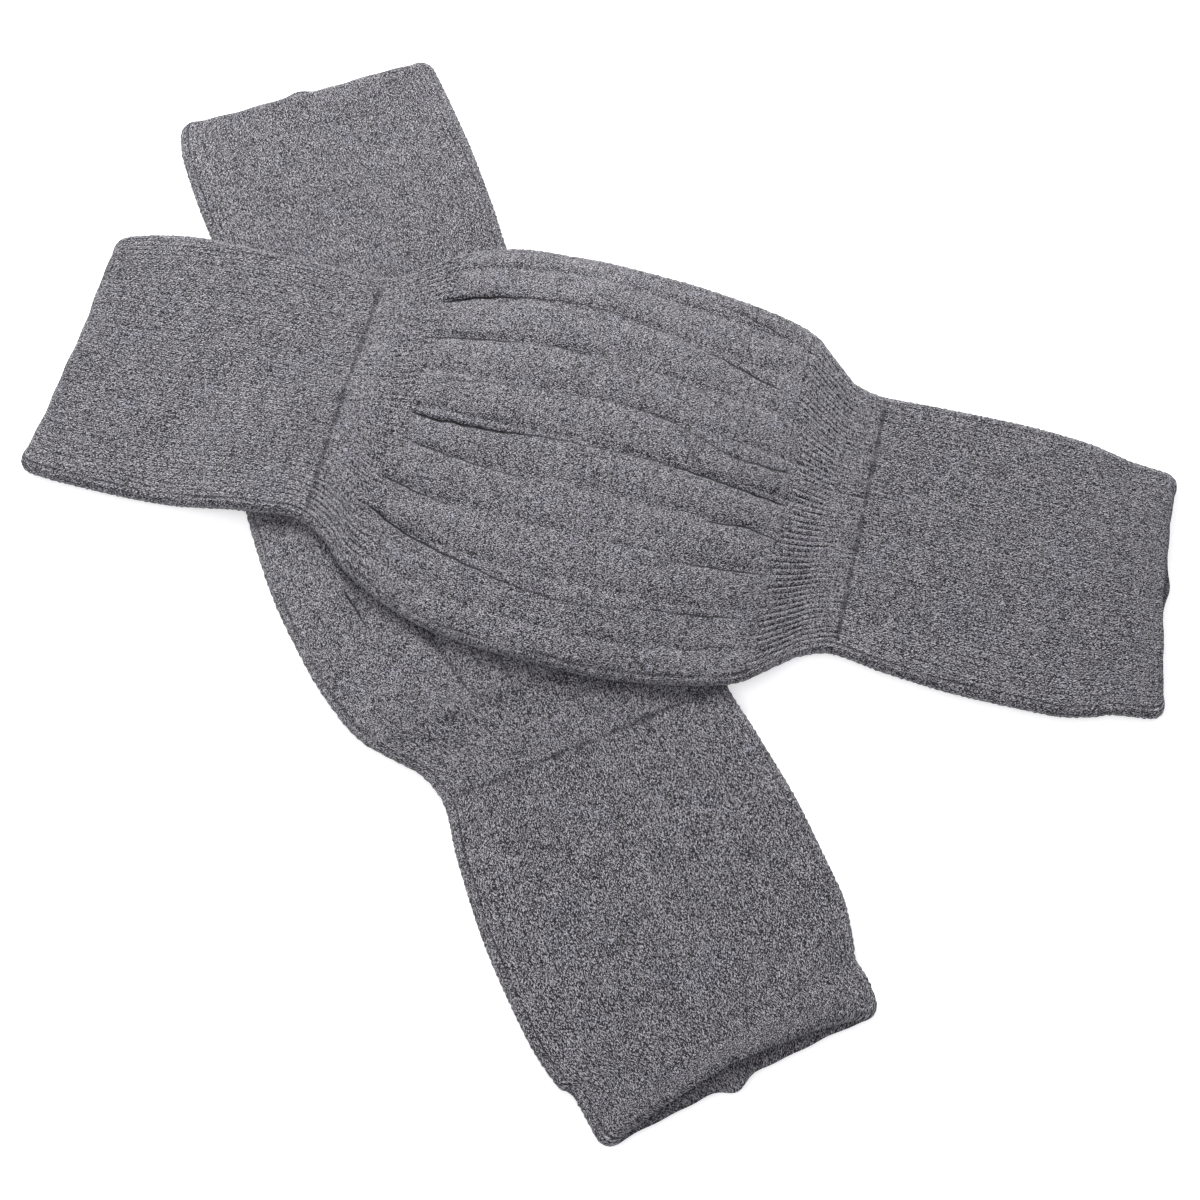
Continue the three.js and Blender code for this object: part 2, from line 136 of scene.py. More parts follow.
# Creases pressed into the fronts. Each is a path of points: along, across and how deep it is there.
CREASE_COLUMNS = ("at", "across", "depth")
LOWER_CREASES = (
    ((150, -0.68, 0), (172, -0.69, 0.5), (192, -0.7, 0)),
    ((197, -0.722, 0), (203, -0.716, 0.9), (210, -0.706, 0.8), (218, -0.698, 0)),
    ((222, -0.46, 0), (236, -0.45, 0.4), (246, -0.44, 0.5), (254, -0.43, 0)),
    ((130, 0.03, 0), (140, 0.02, 1.3), (162, 0.01, 0.7), (184, 0, 0)),
    ((204, 0, 0), (226, -0.01, 0.4), (244, 0.01, 0.5), (256, 0.02, 0)),
    ((130, -0.45, 0), (142, -0.45, 0.8), (178, -0.42, 0)),
    ((131, 0.44, 0), (142, 0.45, 0.9), (172, 0.46, 0)),
    ((224, -0.2, 0), (244, -0.22, 0.4), (256, -0.23, 0)),
    ((218, 0.44, 0), (242, 0.45, 0.7), (255, 0.46, 0)),
)
UPPER_CREASES = (
    ((128, 0.69, 0), (131, 0.697, 1.2), (137, 0.705, 1.5), (146, 0.712, 1.3), (154, 0.714, 0.8),
     (171, 0.712, 0.5), (190, 0.712, 0.4), (205, 0.69, 0.4), (218, 0.674, 0.3), (230, 0.66, 0.7),
     (244, 0.621, 1), (259, 0.58, 0)),
    ((209, 0.482, 0), (225, 0.441, 0.45), (242, 0.339, 0.4), (252, 0.3, 0)),
    ((214, 0.956, 0), (233, 0.94, 0.6), (249, 0.909, 0.5), (258, 0.9, 0)),
    ((128, 0.445, 0), (133, 0.446, 1), (142, 0.446, 1.2), (150, 0.447, 1.1), (158, 0.449, 0.6),
     (166, 0.452, 0)),
    ((166, 0.456, 0), (172, 0.46, 0.6), (181, 0.455, 0.6), (190, 0.445, 0)),
    ((134, 0.175, 0), (145, 0.195, 0.5), (162, 0.217, 0.5), (182, 0.23, 0.3), (192, 0.24, 0)),
    ((190, 0.247, 0), (202, 0.248, 0.4), (216, 0.24, 0.5), (231, 0.187, 0.6), (245, 0.137, 0.7),
     (258, 0.153, 0.9), (266, 0.167, 0)),
    ((129, -0.028, 0), (132, -0.036, 1.3), (137, -0.044, 2.1), (148, -0.034, 2.2),
     (163, -0.026, 1.8), (173, -0.012, 0.9), (195, 0, 0.55), (217, 0.016, 0.45),
     (233, 0.006, 1.2), (247, -0.012, 2.1), (258, -0.02, 2.3), (266, -0.024, 0)),
    ((131, -0.195, 0), (138, -0.202, 0.6), (159, -0.215, 0.6), (182, -0.231, 0.3),
     (220, -0.222, 0.25), (234, -0.225, 0)),
    ((236, -0.235, 0), (242, -0.222, 0.9), (253, -0.208, 0.9), (262, -0.235, 0.9), (267, -0.25, 0)),
    ((126, -0.434, 0), (132, -0.44, 1), (140, -0.443, 0.9), (152, -0.447, 0.4), (166, -0.45, 0.2),
     (192, -0.455, 0)),
    ((224, -0.45, 0), (237, -0.452, 0.7), (252, -0.448, 0.9), (268, -0.444, 0)),
    ((123, -0.62, 0), (128, -0.635, 1.2), (137, -0.658, 1.5), (151, -0.672, 1.1),
     (166, -0.696, 0.8), (182, -0.729, 0.6), (198, -0.742, 0.5), (212, -0.728, 0.4),
     (231, -0.699, 0.5), (246, -0.692, 0.8), (264, -0.688, 0)),
)

# Mouths: skew along for each millimetre across, how far the front and back edges are drawn in at
# the middle, the tail of the knitting that makes the back edge stand out, and where that is.
MOUTH_COLUMNS = ("skew", "front", "back", "nub", "across")
LOWER_MOUTHS = ((0.09, 0.6, -0.5, 1.8, -0.06), (-0.035, 6, 1.2, 3.2, -0.066))
UPPER_MOUTHS = ((0.03, 1.6, 1.3, 0, 0), (-0.075, 2.8, 2, 2, 0.06))


def table(columns, rows):
    """The rows of a table as one array for each column name."""
    data = np.array(rows, float)
    return {name: data[:, i] for i, name in enumerate(columns)}


# A low ridge pressed along the lower warmer's thigh cuff.
RIDGE = table(("at", "across", "height"), (
    (281, 0.11, 0), (292, 0.09, 0.7), (321, 0.03, 0.85), (345, -0.006, 0.85), (370, -0.026, 0.6),
    (384, -0.03, 0)))


def warmer(rows, pleats, creases, mouths, **known):
    """All that is known of one warmer. joins is how much the row at each seam shows, and ribs is
    how far each rib band is drawn in."""
    return {
        **known,
        "rows": table(ROW_COLUMNS, rows),
        "length": rows[-1][0],
        "pleats": table(PLEAT_COLUMNS, pleats),
        "creases": [table(CREASE_COLUMNS, path) for path in creases],
        "mouths": table(MOUTH_COLUMNS, mouths),
    }


LOWER = warmer(LOWER_ROWS, LOWER_PLEATS, LOWER_CREASES, LOWER_MOUTHS, name="lower",
               start=(-112.71, 185.92), heading=math.radians(-66.7), seams=(98, 281),
               joins=(0.45, 0.45), ribs=(0.4, 0.28))
UPPER = warmer(UPPER_ROWS, UPPER_PLEATS, UPPER_CREASES, UPPER_MOUTHS, name="upper",
               start=(-191.71, 74.52), heading=math.radians(-13.8), seams=(104.5, 291.5),
               joins=(0.55, 0.58), ribs=(0.5, 1.0))


# --- Form of a warmer ---

def smoothstep(x):
    """0 up to 0, 1 from 1 on and a smooth rise between."""
    c = np.clip(x, 0.0, 1.0)
    return c * c * (3 - 2 * c)


def stretch(x, start, rise, stop, fall):
    """1 along a stretch and 0 outside it, with a smooth rise and fall inside its ends."""
    return smoothstep((x - start) / rise) * smoothstep((stop - x) / fall)


def bell(x, half_width):
    """1 at 0, and softly less to either side."""
    return np.exp(-(x / half_width) ** 2)


def waves(x, *rows):
    """A sum of sine waves along x. A row is a wave's height, its pitch and its start."""
    return sum(height * np.sin(x * pitch + start) for height, pitch, start in rows)


def value_at(rows, key, at):
    """A column of a table between its rows, on a smooth curve that never overshoots."""
    xs, ys = rows["at"], rows[key]
    s = np.clip(at, xs[0], xs[-1])
    slope = np.diff(ys) / np.diff(xs)
    before, after = slope[:-1], slope[1:]
    same = before * after > 0
    inner = np.where(same, 2 * before * after / np.where(same, before + after, 1), 0)
    tangent = np.concatenate([slope[:1], inner, slope[-1:]])
    i = np.clip(np.searchsorted(xs, s, side="left") - 1, 0, len(xs) - 2)
    span = xs[i + 1] - xs[i]
    x = (s - xs[i]) / span
    rise = ys[i + 1] - ys[i]
    bend0, bend1 = tangent[i] * span, tangent[i + 1] * span
    return ys[i] + x * (bend0 + x * (3 * rise - 2 * bend0 - bend1 + x * (bend0 + bend1 - 2 * rise)))


def corner_inset(w, at):
    """How much narrower a tube is on each side where its mouth's corners round off."""
    from_mouth = np.maximum(np.minimum(at, w["length"] - at), 0)
    share = np.clip(1 - from_mouth / CORNER_RADIUS, 0, 1)
    return CORNER_RADIUS * (1 - np.sqrt(1 - share * share)) * CORNER_SHARE


def section_at(w, at):
    """The tube's section: its middle, half its width, its wall, how far its front domes up and
    how high it is at its folds."""
    at = np.asarray(at, float)
    inset = corner_inset(w, at)
    left, right = (value_at(w["rows"], side, at) - inset for side in ("left", "right"))
    wall = value_at(w["rows"], "wall", at)
    return {
        "middle": (left - right) / 2,
        "half": (left + right) / 2,
        "wall": wall,
        "puff": value_at(w["rows"], "puff", at),
        "flat": 2 * wall + LAY_GAP,
    }


def dome(across):
    """The share of a front's rise across it, 0 at both folds."""
    return 1 - np.minimum(np.abs(across), 1) ** DOME_POWER


def from_seam(w, at):
    """How far into the knee section a place is from the nearer of its two seams."""
    return np.minimum(at - w["seams"][0], w["seams"][1] - at)


def pouch_share(w, at):
    """How much of the pouch's fullness a place has, 0 at the seams."""
    return smoothstep((from_seam(w, at) - BAND_LENGTH + POUCH_OVERLAP) / POUCH_RISE)


def height_of_lower(x, y):
    """The lower warmer's top, carried on past its side folds in a ramp to the table."""
    w = LOWER
    dx, dy = x - w["start"][0], y - w["start"][1]
    c, s = math.cos(w["heading"]), math.sin(w["heading"])
    at, off = dx * c + dy * s, -dx * s + dy * c
    section = section_at(w, np.clip(at, CORNER_RADIUS, RAMP_END))
    across = (off - section["middle"]) / section["half"]
    crown = RIB_CROWN * pouch_share(w, at)
    inside = section["puff"] * dome(across)
    past = np.maximum(0, np.abs(off - section["middle"]) - section["half"])
    full = section["flat"] + inside + crown + REST_GAP
    return full * smoothstep(1 - past / RAMP_LENGTH)


def mouth_shift(w, at, across, half, face):
    """How far a mouth's edge lies from its square line, on the front (face 1) or back (-1)."""
    shift = np.zeros(np.broadcast(at, across).shape)
    for end in (0, 1):
        m = {key: w["mouths"][key][end] for key in MOUTH_COLUMNS}
        inward, from_mouth = (-1, w["length"] - at) if end else (1, at)
        drawn = np.where(face > 0, m["front"] * face, -m["back"] * face)
        near = smoothstep(1 - from_mouth / MOUTH_REACH)
        nub = m["nub"] * bell((across - m["across"]) * half, NUB_HALF_WIDTH) * np.maximum(-face, 0)
        uneven = waves(across, (0.22, 8, 2 * end), (0.14, 21, face + end))
        shift = shift + inward * near * (drawn * (1 - across * across) - nub + uneven)
        shift = shift + m["skew"] * across * half * smoothstep(1 - from_mouth / SKEW_REACH)
    return shift


def place_points(w, at, off, up, face):
    """Points of a tube, from their place along, off the middle line and up from what it lies on."""
    section = section_at(w, at)
    across = np.clip((off - section["middle"]) / section["half"], -1, 1)
    along = at + mouth_shift(w, at, across, section["half"], face)
    c, s = math.cos(w["heading"]), math.sin(w["heading"])
    x = w["start"][0] + along * c - off * s
    y = w["start"][1] + along * s + off * c
    base = height_of_lower(x, y) if w is UPPER else 0.0
    return np.stack(np.broadcast_arrays(x, y, up + base), axis=-1)


def pleat_relief(w, half, across, at):
    """The soft ridges and pleats of the pouch's front, above its plain height."""
    start, stop = w["seams"]
    along = (at - start) / (stop - start)
    ends = np.concatenate([[1], w["pleats"]["across"], [-1]])
    k = np.clip(np.searchsorted(-ends, -across, side="left") - 1, 0, len(ends) - 2)
    between = 2 * (across - ends[k + 1]) / (ends[k] - ends[k + 1]) - 1
    relief = RIB_CROWN * (1 - between * between)
    for place, first, middle, second in zip(*w["pleats"].values()):
        off = np.abs(across - place) * half / PLEAT_HALF_WIDTH
        depth = (middle + (first - middle) * smoothstep(1 - 2 * along)
                 + (second - middle) * smoothstep(2 * along - 1))
        relief = relief - depth * 0.5 * smoothstep(1 - off)
    return pouch_share(w, at) * relief


def creases_at(w, section, across, at):
    """Creases as soft, uneven troughs. Also the way to the nearest crease's line and its depth."""
    shape = np.broadcast(at, across).shape
    relief, nearest, share = np.zeros(shape), np.full(shape, CREASE_REACH), np.zeros(shape)
    for number, path in enumerate(w["creases"], 1):
        inside = (at > path["at"][0]) & (at < path["at"][-1])
        depth = np.where(inside, np.maximum(value_at(path, "depth", at), 0), 0)
        uneven = 0.85 + waves(at, (0.15, 0.83, number * 1.3))
        wobble = waves(at, (0.14, 0.61, number * 2.1))
        off = (across - value_at(path, "across", at)) * section["half"] + wobble
        trough = sum(part * bell(off, half_width) for part, half_width in TROUGHS)
        relief = relief - depth * uneven * trough
        here = depth * smoothstep(2 - 2 * np.abs(off) / CREASE_REACH)
        nearest = np.where(here > share, off, nearest)
        share = np.maximum(here, share)
    return relief, nearest, share


def fold_ribs(w, across, at):
    """How much ribs show along the upper warmer's folds, past the bands' own ends."""
    if w is LOWER:
        return np.zeros(np.broadcast(at, across).shape)
    first, second = (at - seam for seam in w["seams"])
    return (smoothstep((-across - 0.74) / 0.2) * stretch(second, -30, 8, 26, 22)
            + 1.1 * smoothstep((across - 0.3) / 0.3) * stretch(second, -32, 6, -6, 8)
            + 0.95 * smoothstep((-across - 0.4) / 0.45) * stretch(first, -14, 10, 30, 8))


def cuff_lines(w, across, at):
    """How strongly painted shade darkens the grooves between a cuff's wales: more towards the side
    folds.
    """
    near, far = smoothstep((-across - 0.62) / 0.36), smoothstep((across - 0.72) / 0.26)
    lines = 0.17 + 0.22 * near + 0.16 * far + 0.05 * np.sin(across * 13) * np.sin(at * 0.09)
    return np.maximum(lines, fold_ribs(w, across, at))


def band_relief(w, across, at):
    """One-by-one ribs of the bands: their relief, their strength and how tight they are."""
    d = from_seam(w, at)
    near = 0.85 + 0.15 * smoothstep((0.45 - across) / 0.9)
    tight = stretch(d, 11, 4, BAND_LENGTH + 1 + np.sin(across * 17 + 1), 4)
    strength = np.where(at < sum(w["seams"]) / 2, *w["ribs"])
    strength = strength * near * (0.42 * smoothstep((BAND_LENGTH - d) / BAND_EASE) + 0.58 * tight)
    strength = np.maximum(strength, fold_ribs(w, across, at))
    strength = strength * (0.85 + waves(across, (0.15, 23, 0.4), (0.1, 41, at * 0.11)))
    wave = np.cos(np.pi * BAND_RIBS * (1 - across))
    ridge, groove = np.maximum(0, wave), np.maximum(0, -wave) ** 1.4
    return strength * (0.2 * ridge - 0.6 * groove), strength, tight


def slow_relief(across, at, phase):
    """Low, uneven undulation of cloth that lies loosely."""
    return waves(across, (0.22, 2.3, at * 0.071 + phase), (0.16, -4.7, at * 0.13 + 2 * phase),
                 (0.1, 7.9, at * 0.27 + 3 * phase))


# --- Making a mesh ---

# What the yarn's colour follows at each point: its painted shade in recesses and pressed lines
# (painted light where it is below nothing), the way in mm to the nearest crease's line, that
# crease's depth, and the strength of the ribs. The crease lines and the rib grooves are painted
# shade too.
SHADES = ("hollow", "crease", "crease_depth", "band")
# The inside has a little painted light, no crease line within reach and no ribs.
INSIDE_SHADES = (-0.12, CREASE_REACH, 0.0, 0.0)
# Turns count the way round a tube: a front, a fold, an underside and a fold have one each.
ROUND = 4.0
SHARP = math.radians(55)


def bridge(ring_a, turns_a, ring_b, turns_b):
    """Triangles between two closed rings, walked round together by their turns."""
    faces = []
    a = b = 0
    na, nb = len(ring_a), len(ring_b)
    turn_a, turn_b = (list(turns) + [ROUND, 2 * ROUND] for turns in (turns_a, turns_b))
    while a < na or b < nb:
        here, there = ring_a[a % na], ring_b[b % nb]
        if b >= nb or (a < na and turn_a[a + 1] <= turn_b[b + 1]):
            a += 1
            faces.append((here, ring_a[a % na], there))
        else:
            b += 1
            faces.append((here, ring_b[b % nb], there))
    return faces


def outside_points(w, at, nose, counts, front_relief):
    """All points of a tube's outside, a row for each station, each column's turn and the shades."""
    at, nose = at[:, None], nose[:, None]
    section = section_at(w, at)
    fold = section["flat"] / 2
    reach = section["half"] - fold
    nf, ns, nu = counts["front"], counts["fold"], counts["under"]
    across = np.linspace(1, -1, nf + 1)[None, :]
    relief, shades = front_relief(section, across, at)
    up = section["flat"] + section["puff"] * dome(across) + relief - nose
    parts = [(section["middle"] + across * reach, up, np.ones_like(up))]
    turns = [(1 - across[0]) / 2]
    i = np.arange(1, ns)[None, :] / ns
    side_hollow = []
    for sign in (1, -1):
        angle = np.pi * (0.5 - i) * sign
        face = np.sin(angle) + 0 * at
        pressed = bell(angle - FOLD_LINE_ANGLE, FOLD_LINE_SPREAD)
        pressed = pressed * (0.8 + 0.2 * np.sin(at * 0.31 + sign))
        knob = KNOB * np.cos(angle) * np.sin(2 * np.pi * at / counts["course"] + np.sin(at * 0.9))
        knob = knob * (0.75 + 0.5 * np.sin(at * 0.37 + sign) * np.sin(at * 0.93))
        round_it = fold - nose - FOLD_LINE_DEPTH * pressed
        out = reach + round_it * np.cos(angle) + knob
        parts.append((section["middle"] - sign * out, fold + round_it * face, face))
        turns.append(2 - sign + i[0])
        # Painted shade along the line pressed into each side fold, and painted light on the rest of
        # the fold, more on the near one.
        side_hollow.append(pressed * 0.4 - (0.1 if sign == 1 else 0.3))
        if sign == 1:
            u = np.linspace(-1, 1, nu + 1)[None, :]
            low = np.broadcast_to(nose, (len(at), nu + 1))
            parts.append((section["middle"] + reach * u, low, -np.ones_like(low)))
            turns.append(2 + np.arange(nu + 1) / nu)
    off, height, face = (
        np.concatenate([np.broadcast_to(p[k], (len(at), p[2].shape[1])) for p in parts], axis=1)
        for k in range(3))
    rest = np.zeros((len(SHADES), len(at), off.shape[1] - nf - 1))
    rest[SHADES.index("crease")] = -CREASE_REACH
    hollow = rest[SHADES.index("hollow")]
    hollow[:, :ns - 1], hollow[:, 1 - ns:] = side_hollow
    shades = np.concatenate([np.stack(np.broadcast_arrays(*shades)), rest], axis=2)
    return place_points(w, at, off, height, face), np.concatenate(turns), shades


def inside_points(w, at, count):
    """All points of the plain inside of a tube, a row for each station."""
    at = at[:, None]
    section = section_at(w, at)
    gap = LAY_GAP / 2
    reach = section["half"] - section["wall"] - gap
    across = np.linspace(1, -1, count + 1)[None, :]
    ones = np.ones((len(at), 1))
    top = section["wall"] + LAY_GAP + section["puff"] * dome(across)
    low = np.broadcast_to(section["wall"], top.shape)
    middle_up = (section["wall"] + gap) * ones
    off = np.concatenate([across * reach, -reach - gap, -across * reach, reach + gap], axis=1)
    up = np.concatenate([top, middle_up, low, middle_up], axis=1)
    face = np.concatenate([np.ones_like(top), 0 * ones, -np.ones_like(top), 0 * ones], axis=1)
    i = np.arange(count + 1) / count
    turns = np.concatenate([i, [1.5], 2 + i, [3.5]])
    return place_points(w, at, section["middle"] + off, up, face), turns


def mesh_of(name, verts, quads, triangles):
    """A mesh from arrays of points and faces."""
    mesh = bpy.data.meshes.new(name)
    mesh.vertices.add(len(verts))
    mesh.vertices.foreach_set("co", verts.ravel())
    corners = np.concatenate([quads.ravel(), triangles.ravel()])
    sizes = np.repeat([4, 3], [len(quads), len(triangles)])
    mesh.loops.add(len(corners))
    mesh.loops.foreach_set("vertex_index", corners)
    mesh.polygons.add(len(sizes))
    mesh.polygons.foreach_set("loop_start", np.cumsum(sizes) - sizes)
    mesh.update(calc_edges=True)
    mesh.validate()
    return mesh


def count_stitches(mesh, wale, course, wales_round):
    """A UV map that counts the stitches: wales round the tube and courses along it."""
    index = np.zeros(len(mesh.loops), int)
    mesh.loops.foreach_get("vertex_index", index)
    uv = np.stack([wale[index], course[index]], axis=1)
    start, total = np.zeros((2, len(mesh.polygons)), int)
    mesh.polygons.foreach_get("loop_start", start)
    mesh.polygons.foreach_get("loop_total", total)
    # Faces that close the round count on from its last wale.
    most = np.repeat(np.maximum.reduceat(uv[:, 0], start), total)
    uv[:, 0] += np.where(most - uv[:, 0] > wales_round / 2, wales_round, 0)
    layer = mesh.uv_layers.new(name="stitches")
    layer.data.foreach_set("uv", uv.astype(np.float32).ravel())


def into_scene(name, data):
    """A new object in the scene."""
    obj = bpy.data.objects.new(name, data)
    bpy.context.scene.collection.objects.link(obj)
    return obj


def knit_mesh(name, w, stations, inside_at, counts, front_relief):
    """A tube of cloth as one closed mesh, with its stitches counted in a UV map."""
    at, nose = (np.array(x, float) for x in zip(*stations))
    outer, turns, shades = outside_points(w, at, nose, counts, front_relief)
    inner, inner_turns = inside_points(w, np.array(inside_at, float), counts["inside"])
    rows, cols = outer.shape[:2]
    in_rows, in_cols = inner.shape[:2]
    verts = np.concatenate([outer.reshape(-1, 3), inner.reshape(-1, 3)]) * MM
    grid = np.arange(rows * cols).reshape(rows, cols)
    in_grid = rows * cols + np.arange(in_rows * in_cols).reshape(in_rows, in_cols)

    def quads(g, order):
        nxt = np.roll(g, -1, axis=1)
        corners = (g[:-1], nxt[:-1], nxt[1:], g[1:])
        return np.stack(corners[::order], axis=-1).reshape(-1, 4)

    walls = np.concatenate([quads(grid, 1), quads(in_grid, -1)])
    rims = bridge(in_grid[0], inner_turns, grid[0], turns)
    rims += bridge(grid[-1], turns, in_grid[-1], inner_turns)
    mesh = mesh_of(name, verts, walls, np.array(rims))

    wales, fold_wales = counts["wales"], counts["fold_wales"]
    knots = [0, wales, wales + fold_wales, 2 * wales + fold_wales, 2 * (wales + fold_wales)]
    around = np.interp(np.concatenate([turns, inner_turns]), range(len(knots)), knots)
    wale = np.concatenate([np.tile(around[:cols], rows), np.tile(around[cols:], in_rows)])
    along = np.concatenate([np.repeat(at, cols), np.repeat(inside_at, in_cols)])
    count_stitches(mesh, wale, along / counts["course"], knots[-1])
    for shade, outside, inside in zip(SHADES, shades, INSIDE_SHADES):
        values = np.concatenate([outside.ravel(), np.full(in_rows * in_cols, inside)])
        layer = mesh.attributes.new(shade, "FLOAT", "POINT")
        layer.data.foreach_set("value", values.astype(np.float32))
    mesh.polygons.foreach_set("use_smooth", np.ones(len(mesh.polygons), bool))
    mesh.set_sharp_from_angle(angle=SHARP)
    return into_scene(name, mesh)


def evenly(start, stop, step):
    """Places from start to stop, about a step apart."""
    return list(np.linspace(start, stop, round(abs(stop - start) / step) + 1))


# --- The pieces ---

def in_from_fold(section, across):
    """How far inside the nearer side fold a place is, in mm."""
    return (1 - np.abs(across)) * (section["half"] - section["flat"] / 2)


def fold_taper(section, across):
    """0 at the side folds and 1 on the rest of the front."""
    return smoothstep((1 - np.abs(across)) * section["half"] / FOLD_REACH)


def fold_line(section, across):
    """The shallow line that runs beside each side fold."""
    return -0.1 * bell(in_from_fold(section, across) - 0.5, 0.55)


def fold_crease(section, across, at):
    """The thin line inside each side fold, drawn in the yarn's colour as painted shade: the way to
    it and its depth.
    """
    shown = np.where(across < 0, 0.55, 0.34) * (0.8 + 0.25 * np.sin(at * 0.19 + 5 * across))
    way = in_from_fold(section, across) - 0.75 - 0.2 * np.sin(at * 0.27 + across)
    return way, shown * smoothstep(2.4 - np.abs(way))


def deepest(*lines):
    """Of several lines, each a way to it and its depth, the one pressed deepest at each point."""
    way, depth = lines[0]
    for other_way, other_depth in lines[1:]:
        way = np.where(other_depth > depth, other_way, way)
        depth = np.maximum(depth, other_depth)
    return way, depth


def seam_dip(distance, across):
    """The joining row is a shallow, uneven dip."""
    uneven = 0.7 + 0.3 * np.sin(across * 31) * np.sin(across * 87 + 1)
    return -0.15 * uneven * bell(distance, 1.1)


def seam_row(w, at, across):
    """The dark row between the stitches of a join: the way to its line and its depth."""
    distances = [np.abs(at - seam) for seam in w["seams"]]
    distance = np.minimum(*distances)
    shown = np.where(distances[0] < distances[1], *w["joins"])
    broken = 0.76 + waves(across, (0.18, 29, 2), (0.16, 71, 0))
    wave = waves(across, (0.1, 11, 0), (0.08, 37, 1))
    return distance * 0.5 - 0.1 + wave, shown * broken * smoothstep(2.6 - distance)


def cuff_piece(w, end, settings):
    """A turned-in cuff of plain knit, from a mouth to its seam."""
    seam = w["seams"][end]
    mouth, inward = (w["length"], -1) if end else (0.0, 1)
    phase = 1.3 + end + (2.7 if w is UPPER else 0)
    seam_edge = seam - inward * SEAM_GAP / 2
    first_row = mouth + inward * FIRST_ROW
    stations = [(mouth + inward * way, NOSE * share) for way, share in MOUTH_EDGE]
    stations += [(a, 0.0) for a in evenly(first_row, seam_edge, settings.cuff_step)]
    inside_at = evenly(mouth, seam_edge, INSIDE_STEP)
    if inward < 0:
        stations, inside_at = stations[::-1], inside_at[::-1]
    counts = {"front": CUFF_WALES * POINTS_A_WALE, "fold": 14, "under": 60, "inside": 40,
              "wales": CUFF_WALES, "fold_wales": CUFF_FOLD_WALES, "course": settings.cuff_course}

    def front_relief(section, across, at):
        hem = np.abs(at - mouth)
        wale = 0.09 * np.cos(np.pi * CUFF_WALES * (1 - across))
        slow = slow_relief(across, at, phase) * smoothstep(hem / 12)
        stitch_row = -0.16 * bell(hem - HEM - 0.5 * np.sin(across * 9), 1.3)
        roll = -0.55 * smoothstep(1 - hem / 3.2) ** 2
        ridge = 0.0
        if w is LOWER and end == 1:
            off = (across - value_at(RIDGE, "across", at)) * section["half"]
            ridge = value_at(RIDGE, "height", at) * bell(off, RIDGE_HALF_WIDTH)
        dip = seam_dip(np.abs(at - seam), across)
        line = fold_line(section, across)
        raised = (wale + ridge + slow + stitch_row + roll) * fold_taper(section, across)
        # Painted shade in the seam's dip, the fold line, the hem's stitch row and the mouth's roll;
        # painted light on the thigh cuff's ridge.
        hollow = np.clip(-0.9 * dip - 0.8 * line - 0.6 * stitch_row - 0.3 * roll, 0, 1)
        way, depth = deepest(seam_row(w, at, across), fold_crease(section, across, at))
        return raised + dip + line, (hollow - 0.45 * ridge, way, depth, cuff_lines(w, across, at))

    name = f"{w['name']}_{('calf', 'thigh')[end]}_cuff"
    return knit_mesh(name + "_knit", w, stations, inside_at, counts, front_relief), name


def knee_piece(w, settings):
    """The knee section: a pleated pouch between two rib bands."""
    first, second = w["seams"][0] + SEAM_GAP / 2, w["seams"][1] - SEAM_GAP / 2
    stations = [(a, 0.0) for a in evenly(first, second, settings.knee_step)]
    phase, band_hollow = (0.6, 0.1) if w is UPPER else (3.9, 0.32)
    counts = {"front": BAND_RIBS * POINTS_A_RIB, "fold": 14, "under": 60, "inside": 50,
              "wales": KNEE_WALES, "fold_wales": KNEE_FOLD_WALES, "course": settings.knee_course}

    def front_relief(section, across, at):
        ribs, band, tight = band_relief(w, across, at)
        creases, nearest, depth = creases_at(w, section, across, at)
        dip = seam_dip(from_seam(w, at), across)
        line = fold_line(section, across)
        slow = slow_relief(across, at, phase) * pouch_share(w, at)
        raised = (ribs + creases - 0.3 * tight + slow) * fold_taper(section, across)
        raised = raised + pleat_relief(w, section["half"], across, at)
        in_band = smoothstep((BAND_LENGTH - from_seam(w, at)) / BAND_EASE)
        # Painted shade in creases, the seam's dip and the fold line, over the rib bands, and more
        # where they are tight.
        hollow = np.clip(-0.3 * creases - 0.9 * dip - 0.8 * line, 0, 1) + band_hollow * in_band
        hollow = hollow + tight * np.where(at < (first + second) / 2, 0.42, 0.2)
        way, depth = deepest((nearest, depth), seam_row(w, at, across),
                             fold_crease(section, across, at))
        return raised + dip + line, (hollow, way, depth, np.maximum(band, 0.3 * in_band))

    name = f"{w['name']}_knee"
    inside_at = evenly(first, second, INSIDE_STEP)
    return knit_mesh(name + "_knit", w, stations, inside_at, counts, front_relief), name


# --- Materials ---

# Where the five yarn colours stand in the tone, from the darkest to the lightest.
YARN_STOPS = (0.0, 0.32, 0.52, 0.74, 1.0)
VIOLET = (0.93, 0.94, 1.06, 1.0)
BUMP_DISTANCE = 0.00045
GATHERED_WIDTH = 1.55  # how much wider fibres are where ribs gather the wales


class Value:
    """A node's output. Its sums, differences, products and quotients are Math nodes."""

    def __init__(self, nodes, socket):
        self.nodes, self.socket = nodes, socket

    def __add__(self, other):
        return self.nodes.math("ADD", self, other)

    def __sub__(self, other):
        return self.nodes.math("SUBTRACT", self, other)

    def __rsub__(self, other):
        return self.nodes.math("SUBTRACT", other, self)

    def __mul__(self, other):
        return self.nodes.math("MULTIPLY", self, other)

    def __truediv__(self, other):
        return self.nodes.math("DIVIDE", self, other)


